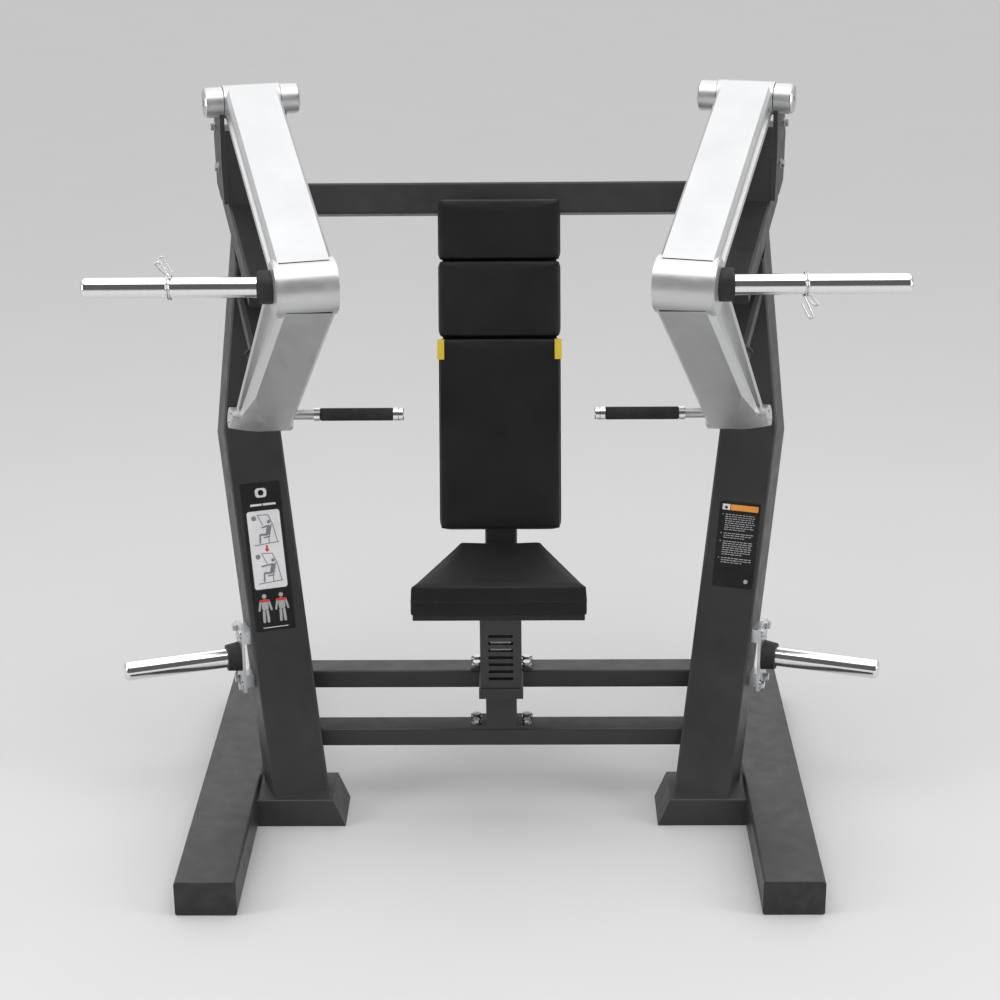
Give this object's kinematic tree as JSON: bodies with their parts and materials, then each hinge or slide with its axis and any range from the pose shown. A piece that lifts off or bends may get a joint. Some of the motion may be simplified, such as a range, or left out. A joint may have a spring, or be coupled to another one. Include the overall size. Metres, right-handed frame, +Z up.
{
  "type": "chest press machine",
  "caption": "Plate-loaded chest press with independent swinging arms, a reclined back pad, a height-adjustable seat and plate storage horns.",
  "frame": {"origin": "centre of the machine's bounding box on the floor", "axes": "+X across the machine, +Y from the open front to the back, +Z up"},
  "size_m": [1.952, 1.2, 1.813],
  "materials": {
    "charcoal_paint": "fine satin powder coat",
    "silver_paint": "metallic silver powder coat",
    "horn_chrome": "polished",
    "handle_steel": "satin",
    "trim_chrome": "polished",
    "spring_wire": "bright drawn wire",
    "grip_rubber": "matt foam",
    "black_rubber": "matt",
    "black_plastic": "fine texture",
    "yellow_plastic": "moulded",
    "placard_film": "printed film",
    "zinc_steel": "bright zinc",
    "satin_plate": "satin",
    "plywood": "stained ply",
    "upholstery": "grained vinyl"
  },
  "bodies": {
    "frame": {"back_board": "plywood", "back_crossbar": "charcoal_paint", "back_cushion_lower": "upholstery", "back_cushion_middle": "upholstery", "back_cushion_upper": "upholstery", "back_post": "charcoal_paint", "base_rail_left": "charcoal_paint", "base_rail_right": "charcoal_paint", "board_straps": "charcoal_paint", "frame_bolts": "zinc_steel", "pad_clips": "yellow_plastic", "pivot_axles": "zinc_steel", "pivot_bosses": "silver_paint", "pivot_brackets": "charcoal_paint", "pivot_caps": "satin_plate", "placard_left": "placard_film", "placard_right": "placard_film", "rail_end_caps": "black_plastic", "seat_crossbar": "charcoal_paint", "seat_pawl": "zinc_steel", "seat_post": "charcoal_paint", "stop_brackets": "charcoal_paint", "stop_bumpers": "black_rubber", "storage_collars": "black_rubber", "storage_horns": "horn_chrome", "storage_plates": "satin_plate", "strut_left": "charcoal_paint", "strut_right": "charcoal_paint", "stub_foot_left": "charcoal_paint", "stub_foot_right": "charcoal_paint", "top_crossbar": "charcoal_paint", "upright_left": "charcoal_paint", "upright_right": "charcoal_paint"},
    "left_arm": {"upper_arm_left": "silver_paint", "arm_bearings_left": "zinc_steel", "elbow_drum_left": "silver_paint", "lower_arm_left": "silver_paint", "hub_screws_left": "zinc_steel", "handle_bar_left": "handle_steel", "grip_left": "grip_rubber", "handle_trim_left": "trim_chrome", "plate_horn_left": "horn_chrome", "horn_collar_left": "black_rubber"},
    "right_arm": {"upper_arm_right": "silver_paint", "arm_bearings_right": "zinc_steel", "elbow_drum_right": "silver_paint", "lower_arm_right": "silver_paint", "hub_screws_right": "zinc_steel", "handle_bar_right": "handle_steel", "grip_right": "grip_rubber", "handle_trim_right": "trim_chrome", "plate_horn_right": "horn_chrome", "horn_collar_right": "black_rubber"},
    "seat": {"seat_sleeve": "charcoal_paint", "seat_liner": "black_plastic", "seat_collar": "charcoal_paint", "seat_board": "plywood", "seat_cushion": "upholstery"},
    "left_clip": {"spring_clip_left": "spring_wire"},
    "right_clip": {"spring_clip_right": "spring_wire"}
  },
  "joints": [
    {"name": "left_arm_swing", "type": "hinge", "parent": "frame", "child": "left_arm", "pos_m": [-0.641, 0.48, 1.771], "axis": [-0.9636, -0.2672, 0], "range_deg": [0, 48]},
    {"name": "right_arm_swing", "type": "hinge", "parent": "frame", "child": "right_arm", "pos_m": [0.641, 0.48, 1.771], "axis": [-0.9636, 0.2672, 0], "range_deg": [0, 48]},
    {"name": "seat_height", "type": "slide", "parent": "frame", "child": "seat", "axis": [0, 0, 1], "range_m": [-0.07, 0.08]},
    {"name": "left_clip_slide", "type": "slide", "parent": "left_arm", "child": "left_clip", "axis": [-1, 0, 0], "range_m": [-0.19, 0.31]},
    {"name": "right_clip_slide", "type": "slide", "parent": "right_arm", "child": "right_clip", "axis": [1, 0, 0], "range_m": [-0.15, 0.35]}
  ]
}
